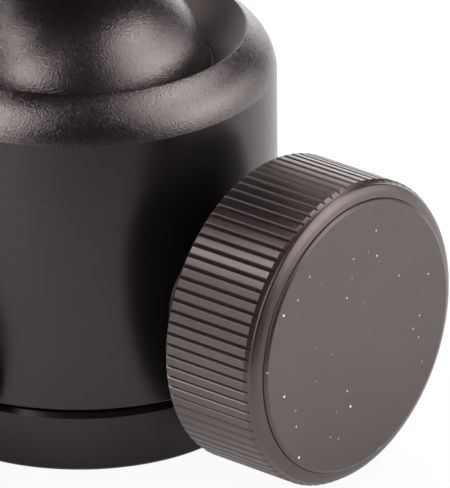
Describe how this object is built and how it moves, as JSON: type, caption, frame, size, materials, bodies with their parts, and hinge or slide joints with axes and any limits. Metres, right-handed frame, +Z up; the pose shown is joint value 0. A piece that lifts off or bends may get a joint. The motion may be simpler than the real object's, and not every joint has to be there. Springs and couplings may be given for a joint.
{
  "type": "tripod ball head",
  "caption": "Ball head for a tripod: a ball in a round housing with a large ribbed lock knob, a drop notch, a pan lock and a screw clamp for dovetail camera plates.",
  "frame": {"origin": "centre of the base's bottom face, on the tripod thread's axis", "axes": "+Z up along the pan axis; +X along the main lock knob's axis, outwards; the pan knob and the clamp's knob point along -Y at rest; the drop notch is at -X"},
  "size_m": [0.0791, 0.07, 0.0953],
  "materials": {
    "anodised_black": "bead-blasted and satin black anodised aluminium",
    "anodised_grey": "matt dark grey anodised aluminium",
    "bare_aluminium": "turned",
    "steel": "bright",
    "dark_steel": "black oxide",
    "brass": "turned",
    "white_plastic": "acetal",
    "black_plastic": "acetal",
    "clear_plastic": "clear acrylic",
    "level_fluid": "yellow-green spirit"
  },
  "bodies": {
    "base": {"base_plate": "anodised_black", "lower_thrust_washer": "black_plastic", "upper_thrust_washer": "white_plastic", "retaining_ring": "steel", "retaining_screws": "steel"},
    "housing": {"housing": "anodised_black", "bearing_plug": "bare_aluminium", "plug_set_screws": "dark_steel", "lock_bush": "brass", "upper_race": "black_plastic", "piston_springs": "steel"},
    "pressure_piston": {"pressure_piston": "bare_aluminium"},
    "lock_washer": {"lock_washer": "black_plastic"},
    "main_knob": {"main_knob": "anodised_grey", "knob_front_disc": "anodised_grey", "knob_fixing_screw": "steel", "lock_screw": "steel"},
    "pan_washer": {"pan_washer": "black_plastic"},
    "pan_knob": {"pan_knob": "anodised_grey", "pan_knob_disc": "anodised_grey", "pan_screw": "steel"},
    "brake_pad": {"brake_pad": "brass"},
    "lower_cup": {"lower_cup": "white_plastic"},
    "ball": {"ball": "anodised_black"},
    "head": {"stem": "anodised_black", "clamp_bolt": "dark_steel", "locating_pin": "steel", "clamp_body": "anodised_black", "guide_pins": "steel", "jaw_springs": "steel", "level_vial": "clear_plastic", "level_fluid": "level_fluid", "level_bubble": "clear_plastic"},
    "clamp_jaw": {"clamp_jaw": "anodised_black"},
    "clamp_knob": {"clamp_washer": "steel", "clamp_knob": "anodised_grey", "clamp_knob_disc": "anodised_grey", "clamp_screw": "steel"}
  },
  "joints": [
    {"name": "pan", "type": "hinge", "parent": "base", "child": "housing", "pos_m": [0, 0, 0.0109], "axis": [0, 0, 1], "continuous": true},
    {"name": "main_lock_travel", "type": "slide", "parent": "housing", "child": "lock_washer", "axis": [1, 0, 0], "range_m": [0, 0.0009375]},
    {"name": "main_lock_turn", "type": "hinge", "parent": "lock_washer", "child": "main_knob", "pos_m": [0.0345, 0, 0.0244], "axis": [1, 0, 0], "range_deg": [0, 270]},
    {"name": "piston_travel", "type": "slide", "parent": "housing", "child": "pressure_piston", "axis": [0, 0, 1], "range_m": [-0.000375, 0], "deforming": ["piston_springs"]},
    {"name": "pan_lock_travel", "type": "slide", "parent": "housing", "child": "pan_washer", "axis": [0, -1, 0], "range_m": [0, 0.0006]},
    {"name": "pan_lock_turn", "type": "hinge", "parent": "pan_washer", "child": "pan_knob", "pos_m": [0, -0.029, 0.0144], "axis": [0, -1, 0], "range_deg": [0, 270]},
    {"name": "brake_travel", "type": "slide", "parent": "housing", "child": "brake_pad", "axis": [0, -1, 0], "range_m": [0, 0.0006]},
    {"name": "ball_azimuth", "type": "hinge", "parent": "housing", "child": "lower_cup", "pos_m": [0, 0, 0.0488], "axis": [0, 0, 1], "range_deg": [0, 360]},
    {"name": "ball_tilt", "type": "hinge", "parent": "lower_cup", "child": "ball", "pos_m": [0, 0, 0.0488], "axis": [0, 1, 0], "range_deg": [-90, 45]},
    {"name": "ball_spin", "type": "hinge", "parent": "ball", "child": "head", "pos_m": [0, 0, 0.0488], "axis": [0, 0, 1], "continuous": true},
    {"name": "jaw_travel", "type": "slide", "parent": "head", "child": "clamp_jaw", "axis": [0, -1, 0], "range_m": [0, 0.005]},
    {"name": "clamp_knob_turn", "type": "hinge", "parent": "clamp_jaw", "child": "clamp_knob", "pos_m": [0, -0.0286, 0.0863], "axis": [0, -1, 0], "range_deg": [0, 1800]}
  ],
  "couplings": [
    {"joint": "main_lock_turn", "follows": "main_lock_travel", "rad_per_m": 5026.5},
    {"joint": "piston_travel", "follows": "main_lock_travel", "ratio": -0.4},
    {"joint": "pan_lock_turn", "follows": "pan_lock_travel", "rad_per_m": 7854},
    {"joint": "brake_travel", "follows": "pan_lock_travel", "ratio": 1},
    {"joint": "clamp_knob_turn", "follows": "jaw_travel", "rad_per_m": 6283.2}
  ]
}
